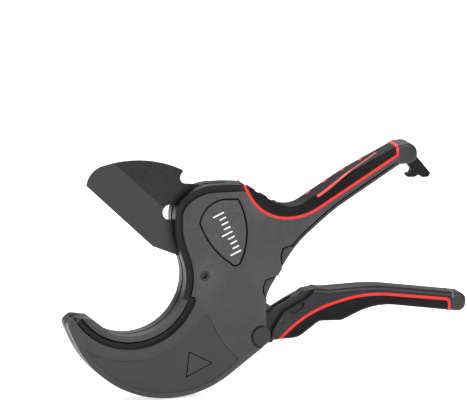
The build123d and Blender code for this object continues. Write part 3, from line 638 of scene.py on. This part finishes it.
def arc(start: Point, middle: Point, end: Point, count: int = 12) -> list[Point]:
    """Points on the arc through three points, without its last one.

    Args:
        start: First point.
        middle: Point on the arc.
        end: Last point.
        count: Number of points.

    Returns:
        The points.
    """
    (ax, az), (bx, bz), (cx, cz) = start, middle, end
    d = 2 * (ax * (bz - cz) + bx * (cz - az) + cx * (az - bz))
    a, b, c = ax * ax + az * az, bx * bx + bz * bz, cx * cx + cz * cz
    ox = (a * (bz - cz) + b * (cz - az) + c * (az - bz)) / d
    oz = (a * (cx - bx) + b * (ax - cx) + c * (bx - ax)) / d
    first, last = math.atan2(az - oz, ax - ox), math.atan2(cz - oz, cx - ox)
    via = math.atan2(bz - oz, bx - ox)
    turn = (last - first) % math.tau
    if (via - first) % math.tau > turn:
        turn -= math.tau
    radius = math.hypot(ax - ox, az - oz)
    angles = (first + turn * i / count for i in range(count))
    return [(ox + radius * math.cos(t), oz + radius * math.sin(t)) for t in angles]


def rounded(points: list[Point], radii: list[float], count: int = 8) -> list[Point]:
    """Route with its inner corners rounded.

    Args:
        points: Corner points.
        radii: Radius at each inner corner.
        count: Number of points on each rounding.

    Returns:
        The points of the rounded route.
    """
    route = [points[0]]
    for before, corner, after, radius in zip(points, points[1:], points[2:], radii):
        back = Vector(before) - Vector(corner)
        ahead = Vector(after) - Vector(corner)
        back.normalize()
        ahead.normalize()
        half = back.angle(ahead) / 2
        reach = radius / math.tan(half)
        centre = Vector(corner) + (back + ahead).normalized() * radius / math.sin(half)
        start, end = Vector(corner) + back * reach, Vector(corner) + ahead * reach
        for index in range(count + 1):
            spot = start.lerp(end, index / count) - centre
            route.append(tuple(centre + spot.normalized() * radius))
    return route + [points[-1]]


def beside(route: list[Point], distance: float) -> list[Point]:
    """Route moved sideways, positive to its left.

    Args:
        route: Points of the route.
        distance: How far it moves.

    Returns:
        The moved points.
    """
    moved = []
    for index, point in enumerate(route):
        before = Vector(route[max(index - 1, 0)])
        after = Vector(route[min(index + 1, len(route) - 1)])
        along = (after - before).normalized()
        moved.append((point[0] - along.y * distance, point[1] + along.x * distance))
    return moved


def ribbon(name: str, route: list[Point], width: float, low: float, high: float,
           closed: bool = False) -> bpy.types.Object:
    """Thin raised line along a route in the side view.

    Args:
        name: Object name.
        route: Points of the line, in millimetres.
        width: Width of the line, in millimetres.
        low: Nearer y level, in millimetres.
        high: Farther y level, in millimetres.
        closed: Whether the line runs back to its start.

    Returns:
        The new object.
    """
    path = route + [route[0], route[1]] if closed else route
    left, right = beside(path, width / 2), beside(path, -width / 2)
    if closed:
        left, right = left[1:-1], right[1:-1]
        left.append(left[0])
        right.append(right[0])
    sections = [[Vector((x * MM, y * MM, z * MM))
                 for x, z, y in ((lx, lz, low), (rx, rz, low), (rx, rz, high), (lx, lz, high))]
                for (lx, lz), (rx, rz) in zip(left, right)]
    return bar(name, sections, closed)


def inlay(name: str, carrier: bpy.types.Object, spots: list[tuple[Vector, Vector]], width: float,
          proud: float = 0.12 * MM) -> bpy.types.Object:
    """Strip laid on a piece's surface, found by casting inwards from outside.

    Args:
        name: Object name.
        carrier: The piece that it lies on.
        spots: Outer point and inner point of each cast along the strip.
        width: Width of the strip.
        proud: How far the strip stands above the surface.

    Returns:
        The new object.
    """
    tree = BVHTree.FromObject(carrier, bpy.context.evaluated_depsgraph_get())
    laid = []
    for outer, inner in spots:
        hit, normal, _, _ = tree.ray_cast(outer, (inner - outer).normalized())
        if hit is not None:
            laid.append((hit, normal if normal.dot(outer - hit) > 0 else -normal))
    sections = []
    for index, (hit, normal) in enumerate(laid):
        along = laid[min(index + 1, len(laid) - 1)][0] - laid[max(index - 1, 0)][0]
        across = normal.cross(along).normalized() * width / 2
        lift = normal * proud
        offsets = (across + lift, lift - across, -across - lift, across - lift)
        sections.append([hit + offset for offset in offsets])
    return bar(name, sections)


def fix(piece: bpy.types.Object, material: bpy.types.Material, body: str) -> None:
    """Paint a new piece and let it ride on a body.

    Args:
        piece: The new piece.
        material: Its material.
        body: The body that it rides on.
    """
    paint(piece, material)
    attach(piece, body)
    LOG.info("made %s", piece.name)


@dataclass
class Body:
    """Cast shells, badge and the fasteners that hold them.

    Lengths are in millimetres, points are (x, z).
    """

    shop: Workshop
    frame: dict
    rim_face: float = 8.2
    panel_face: float = 9.5
    badge_face: float = 9.8
    foot: float = 0.1
    shield: tuple[tuple[Point, Point, Point], ...] = (
        ((65.6, 46.6), (71.0, 28.0), (67.6, 9.0)), ((67.6, 9.0), (64.6, 6.2), (61.2, 7.6)),
        ((61.2, 7.6), (49.6, 18.6), (41.8, 33.2)), ((41.8, 33.2), (47.4, 43.0), (57.0, 47.0)))
    shield_line: float = 1.1
    shield_proud: float = 0.04
    shield_foot: float = 0.4
    mark: tuple[Point, ...] = ((35.1, -45.1), (33.4, -60.3), (49.6, -52.6))
    mark_line: float = 0.6
    mark_proud: float = 0.03
    mark_corner: float = 0.3
    scale_start: Point = (53.4, 37.6)
    scale_end: Point = (64.2, 14.0)
    ticks: int = 9
    long_every: int = 4
    tick_side: float = 3.6
    long_tick: float = 7.2
    short_tick: float = 4.4
    tick_line: float = 0.9
    tick_proud: float = 0.06
    under: tuple[Point, ...] = ((83.0, -32.5), (83.0, -13.5), (102.0, 17.0), (126.0, 37.0), (165.0, 61.1))
    under_radii: tuple[float, ...] = (26.0, 70.0, 120.0)
    under_from: float = 99.0
    corner: tuple[Point, ...] = ((101.4, 17.0), (94.2, 15.0), (93.0, 10.1), (93.3, 5.0))
    notch: tuple[Point, ...] = ((89.0, -2.2), (83.6, -3.6), (81.8, -7.9), (81.9, -11.5), (82.9, -14.5))
    # Painted shade lines beside the underside's steps.
    step_shade_inset: float = 2.0
    step_shade_line: float = 1.0
    step_shade_proud: float = 0.05
    finishes: dict[str, Finish] = field(default_factory=lambda: {
        "badge_plate": BADGE_COAT, "blade_pivot_screw": PIN_STEEL, "blade_stop_pin": PIN_STEEL,
        "body_screws": PIN_STEEL, "handle_pivot_pin": PIN_STEEL, "handle_pivot_nut": PIN_STEEL,
        "hold_pawl_pin": PIN_STEEL, "hold_pawl_spring": SPRING_WIRE, "hold_pawl": PIN_STEEL,
        "drive_pawl": PIN_STEEL, "drive_pawl_pin": PIN_STEEL, "drive_pawl_spring": SPRING_WIRE,
        "handle_return_spring": SPRING_WIRE, "blade_return_spring": SPRING_WIRE})

    def dress(self) -> None:
        """Give the shells and metal parts their finishes, with painted shade on the shells' rim and groove.
        """
        for node, finish in self.finishes.items():
            paint(self.frame["nodes"][node], self.shop.material(finish))
            LOG.info("dressed %s", node)
        # Painted shade: the shells' rim and groove are painted near-black where shade falls in them.
        shell = self.shop.masked_second_colour(SHELL_COAT, "shell_rim_shade", self.shop.groups.rim, "Rim", RIM_SHADE)
        for node in ("near_shell", "far_shell"):
            paint(self.frame["nodes"][node], shell)
            LOG.info("dressed %s", node)

    def detail(self) -> None:
        """Make the badge's scale and dark outline, the jaw's dark mark and the dark lines beside the steps;
        the dark lines are painted shade.
        """
        # Painted shade: dark lines where the badge's edge and the jaw's debossed mark throw shade.
        dark = self.shop.material(PAINTED_SHADE)
        route = [point for curve in self.shield for point in arc(*curve)] + [self.shield[-1][-1]]
        outline = ribbon("badge_outline", route, self.shield_line, -self.badge_face - self.shield_proud,
                         -self.badge_face + self.shield_foot, closed=True)
        fix(outline, dark, "tool_body")
        route = rounded([*self.mark, *self.mark[:2]], [self.mark_corner] * 3)
        mark = ribbon("jaw_mark", route, self.mark_line, -self.panel_face - self.mark_proud,
                      -self.panel_face + self.foot)
        fix(mark, dark, "tool_body")
        self._scale()
        self._step_shades(dark)

    def _scale(self) -> None:
        """Plain graduation marks on the badge, flush on one side."""
        white = self.shop.material(MARK_WHITE)
        start, end = Vector(self.scale_start), Vector(self.scale_end)
        along = (end - start).normalized()
        across = Vector((-along.y, along.x))
        for index in range(self.ticks):
            length = self.short_tick if index % self.long_every else self.long_tick
            side = start.lerp(end, index / (self.ticks - 1)) + across * self.tick_side
            tick = ribbon(f"badge_tick_{index}", [tuple(side), tuple(side - across * length)], self.tick_line,
                          -self.badge_face - self.tick_proud, -self.badge_face + self.foot)
            fix(tick, white, "tool_body")

    def _step_shades(self, dark: bpy.types.Material) -> None:
        """Painted shade: dark lines beside the step to the lowered strip of the underside, and round its
        recesses, where the steps throw shade.

        Args:
            dark: Material of the painted shade lines.
        """
        route = beside(rounded(list(self.under), list(self.under_radii)), self.step_shade_inset)
        strip = [point for point in route if point[0] > self.under_from]
        paths = {"under": strip, "corner": list(self.corner), "notch": list(self.notch)}
        for side, label in ((-1, "near"), (1, "far")):
            low, high = sorted((side * (self.rim_face + self.step_shade_proud), side * (self.rim_face - self.foot)))
            for name, path in paths.items():
                step_shade = ribbon(f"{name}_seam_{label}", path, self.step_shade_line, low, high)
                fix(step_shade, dark, "tool_body")


@dataclass
class Blade:
    """Coated blade, lighter where its edge is ground.  Points are (x, z) in millimetres."""

    shop: Workshop
    frame: dict
    grind_start: Point = (-7.2, 69.0)
    grind_end: Point = (20.8, 42.8)

    def dress(self) -> None:
        """Coat the blade."""
        dx, dz = self.grind_end[0] - self.grind_start[0], self.grind_end[1] - self.grind_start[1]
        angle = math.atan2(-dx, dz)
        coat = self.shop.masked_second_colour(BLADE_BLACK, "blade_two_tone", self.shop.groups.side, "Side",
                                     GROUND_GREY, X=self.grind_start[0] * MM, Z=self.grind_start[1] * MM,
                                     Angle=angle)
        paint(self.frame["nodes"]["blade"], coat)
        LOG.info("dressed blade")


@dataclass
class Handles:
    """Grips, trims, frame and end caps of both handles.

    Lengths are in millimetres.  Points of the web and the cap highlight are (x, z), the others (x, y).
    """

    shop: Workshop
    frame: dict
    stripe_start: Point = (115.4, -8.2)
    stripe_length: float = 39.6
    stripe_drift: float = 8.8
    stripe_line: float = 1.8
    stripe_steps: int = 36
    dashes: tuple[float, ...] = (114.0, 124.7, 135.8, 146.9)
    dash_start: Point = (-1.6, 3.4)
    dash_step: float = 0.8
    dash_steps: int = 4
    dash_line: float = 2.2
    cast_height: float = 120.0
    cast_spread: float = 1.15
    web: tuple[Point, ...] = (
        (104.9, -15.2), (105.6, -14.1), (108.2, -12.2), (111.4, -11.7), (114.9, -11.2), (118.0, -11.8),
        (113.0, -19.0), (105.5, -20.0))
    web_half: float = 4.95
    web_bevel: float = 0.5
    cap_centre: Point = (201.5, -24.2)
    cap_reach: float = 30.0
    cap_turn: Point = (18.0, 144.0)
    cap_steps: int = 40
    cap_highlight: float = 0.6
    cap_proud: float = 0.14
    finishes: dict[str, Finish] = field(default_factory=lambda: {
        "upper_grip": GRIP_RUBBER, "upper_trim": TRIM_RED, "upper_end_cap": CAP_GREY,
        "latch_hook": LATCH_BLACK, "latch_pin": PIN_STEEL, "lower_handle_frame": HANDLE_BLACK,
        "lower_trim": TRIM_RED, "lower_grip": GRIP_RUBBER, "lower_end_cap": CAP_GREY})

    def dress(self) -> None:
        """Give the handles their finishes."""
        for node, finish in self.finishes.items():
            paint(self.frame["nodes"][node], self.shop.material(finish))
            LOG.info("dressed %s", node)

    def detail(self) -> None:
        """Lay the inlays on the rubber, and add the frame's web and the painted highlight on the cap's step.
        """
        self._stripe()
        self._dashes()
        self._web()
        self._step_highlight()

    def _stripe(self) -> None:
        """Stripe that runs from the upper grip's near shoulder onto its top."""
        x, y = self.stripe_start
        shares = [index / self.stripe_steps for index in range(self.stripe_steps + 1)]
        spots = [self._over_deck(x + self.stripe_length * share, y + self.stripe_drift * share ** 2)
                 for share in shares]
        stripe = inlay("grip_stripe", self.frame["nodes"]["upper_grip"], spots, self.stripe_line * MM)
        fix(stripe, self.shop.material(STRIPE_PINK), "tool_body")

    def _dashes(self) -> None:
        """Slanted dashes on the far half of the upper grip's top."""
        for index, place in enumerate(self.dashes):
            steps = [self.dash_step * step for step in range(self.dash_steps + 1)]
            spots = [self._over_deck(place + self.dash_start[0] + step, self.dash_start[1] + step)
                     for step in steps]
            dash = inlay(f"grip_dash_{index}", self.frame["nodes"]["upper_grip"], spots, self.dash_line * MM)
            fix(dash, self.shop.material(TRIM_RED), "tool_body")

    def _over_deck(self, x: float, y: float) -> tuple[Vector, Vector]:
        """Cast onto the upper grip's top or rounded shoulder.

        Args:
            x: Place along the tool, in millimetres.
            y: Place across the grip, in millimetres.

        Returns:
            Outer and inner point of the cast.
        """
        outer = Vector((x * MM, y * self.cast_spread * MM, self.cast_height * MM))
        return outer, Vector((x * MM, y * MM, 0.0))

    def _web(self) -> None:
        """Web that closes the corner between the frame's core and its cheeks."""
        outline = [(x * MM, z * MM) for x, z in self.web[::-1]]
        piece = prism("frame_web", outline, -self.web_half * MM, self.web_half * MM)
        bevel = piece.modifiers.new("soft_edges", "BEVEL")
        bevel.width = self.web_bevel * MM
        bevel.segments = 2
        fix(piece, self.shop.material(HANDLE_BLACK), "lower_handle")

    def _step_highlight(self) -> None:
        """Painted highlight: a light line over the step of the lower end cap, where light catches its edge.
        """
        centre = Vector((self.cap_centre[0] * MM, 0.0, self.cap_centre[1] * MM))
        start, sweep = self.cap_turn
        spots = []
        for index in range(self.cap_steps + 1):
            turn = math.radians(start + sweep * index / self.cap_steps)
            outward = Vector((0.0, -math.cos(turn), math.sin(turn)))
            spots.append((centre + outward * self.cap_reach * MM, centre))
        line = inlay("cap_highlight", self.frame["nodes"]["lower_end_cap"], spots, self.cap_highlight * MM,
                     self.cap_proud * MM)
        fix(line, self.shop.material(HIGHLIGHT_GREY), "lower_handle")


@dataclass(frozen=True)
class Lamp:
    """One soft square lamp.

    Args:
        name: Its name.
        place: Where it hangs, in metres.
        size: Its side, in metres.
        power: Its power, in watts.
    """

    name: str
    place: tuple[float, float, float]
    size: float
    power: float


@dataclass
class Studio:
    """Pale floor and backdrop, soft lights and the camera."""

    distance: float = 4.0
    azimuth: float = -16.0
    elevation: float = 10.5
    target: tuple[float, float, float] = (0.0655, 0.0, 0.0444)
    view_width: float = 0.2802
    floor_drop: float = 0.001
    floor_half: float = 3.0
    glow_reach: Point = (0.12, 0.45)
    glow: Point = (0.72, 1.0)
    world_light: float = 0.4
    lamps: tuple[Lamp, ...] = (
        Lamp("key", (0.30, -0.60, 0.60), 0.6, 6.5),
        Lamp("fill", (-0.75, -0.7, 0.25), 0.8, 2.6),
        Lamp("rim", (0.1, 0.6, 0.75), 0.6, 5.0))

    def build(self) -> None:
        """Make the whole studio."""
        self._camera()
        self._floor()
        self._lights()
        self._world()
        bpy.context.scene.view_settings.view_transform = "Standard"
        LOG.info("built studio")

    def _camera(self) -> None:
        """Camera at the side view's angle."""
        camera = bpy.data.cameras.new("camera")
        camera.sensor_width = 36.0
        camera.lens = camera.sensor_width * self.distance / self.view_width
        camera.clip_start = 0.05
        holder = bpy.data.objects.new("camera", camera)
        bpy.context.scene.collection.objects.link(holder)
        turn, lift = math.radians(self.azimuth), math.radians(self.elevation)
        back = Vector((math.sin(turn) * math.cos(lift), -math.cos(turn) * math.cos(lift), math.sin(lift)))
        holder.location = Vector(self.target) + back * self.distance
        holder.rotation_euler = (-back).to_track_quat("-Z", "Y").to_euler()
        bpy.context.scene.camera = holder

    def _floor(self) -> None:
        """Plain floor under the tool, which the camera and reflections see as white."""
        shape = bmesh.new()
        bmesh.ops.create_grid(shape, x_segments=2, y_segments=2, size=self.floor_half)
        floor = new_piece("floor", shape)
        floor.location.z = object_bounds()[0][2] - self.floor_drop
        paint(floor, self._seen_white("floor_white"))
        floor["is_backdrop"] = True

    def _seen_white(self, name: str) -> bpy.types.Material:
        """Diffuse white that the camera sees as nearly pure white, with the shadow kept.

        Args:
            name: Material name.

        Returns:
            The material.
        """
        material = bpy.data.materials.new(name)
        material.use_nodes = True
        nodes, links = material.node_tree.nodes, material.node_tree.links
        shader = nodes["Principled BSDF"]
        shader.inputs["Base Color"].default_value = (0.8, 0.8, 0.8, 1.0)
        shader.inputs["Roughness"].default_value = 0.9
        path = nodes.new("ShaderNodeLightPath")
        shader.inputs["Emission Color"].default_value = (1.0, 1.0, 1.0, 1.0)
        coords = nodes.new("ShaderNodeTexCoord")
        reach = nodes.new("ShaderNodeVectorMath")
        reach.operation = "LENGTH"
        links.new(coords.outputs["Object"], reach.inputs[0])
        glow = nodes.new("ShaderNodeMapRange")
        for label, value in zip(("From Min", "From Max", "To Min", "To Max"), (*self.glow_reach, *self.glow)):
            glow.inputs[label].default_value = value
        links.new(reach.outputs["Value"], glow.inputs["Value"])
        seen = nodes.new("ShaderNodeMath")
        seen.operation = "MAXIMUM"
        links.new(path.outputs["Is Camera Ray"], seen.inputs[0])
        links.new(path.outputs["Is Glossy Ray"], seen.inputs[1])
        scale = nodes.new("ShaderNodeMath")
        scale.operation = "MULTIPLY"
        links.new(seen.outputs[0], scale.inputs[0])
        links.new(glow.outputs["Result"], scale.inputs[1])
        links.new(scale.outputs[0], shader.inputs["Emission Strength"])
        return material

    def _lights(self) -> None:
        """Large soft lamps: key above right, fill from the front left, rim from behind."""
        for lamp in self.lamps:
            light = bpy.data.lights.new(lamp.name, "AREA")
            light.size = lamp.size
            light.energy = lamp.power
            holder = bpy.data.objects.new(lamp.name, light)
            holder.location = lamp.place
            toward = Vector(self.target) - Vector(lamp.place)
            holder.rotation_euler = toward.to_track_quat("-Z", "Y").to_euler()
            bpy.context.scene.collection.objects.link(holder)

    def _world(self) -> None:
        """Soft world light, seen as white by the camera and through clear parts."""
        world = bpy.data.worlds.new("studio_world")
        bpy.context.scene.world = world
        world.use_nodes = True
        nodes, links = world.node_tree.nodes, world.node_tree.links
        background = nodes["Background"]
        path = nodes.new("ShaderNodeLightPath")
        seen = nodes.new("ShaderNodeMath")
        seen.operation = "MAXIMUM"
        links.new(path.outputs["Is Camera Ray"], seen.inputs[0])
        links.new(path.outputs["Is Transmission Ray"], seen.inputs[1])
        ramp = nodes.new("ShaderNodeMapRange")
        ramp.inputs["To Min"].default_value = self.world_light
        ramp.inputs["To Max"].default_value = 1.0
        links.new(seen.outputs[0], ramp.inputs["Value"])
        links.new(ramp.outputs["Result"], background.inputs["Strength"])
        background.inputs["Color"].default_value = (1.0, 1.0, 1.0, 1.0)


def main() -> None:
    """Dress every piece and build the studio."""
    logging.basicConfig(level=logging.INFO)
    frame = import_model()
    shop = Workshop()
    body, blade, handles = Body(shop, frame), Blade(shop, frame), Handles(shop, frame)
    for assembly in (body, blade, handles):
        assembly.dress()
    for assembly in (body, handles):
        assembly.detail()
    Studio().build()


if __name__ == "__main__":
    main()
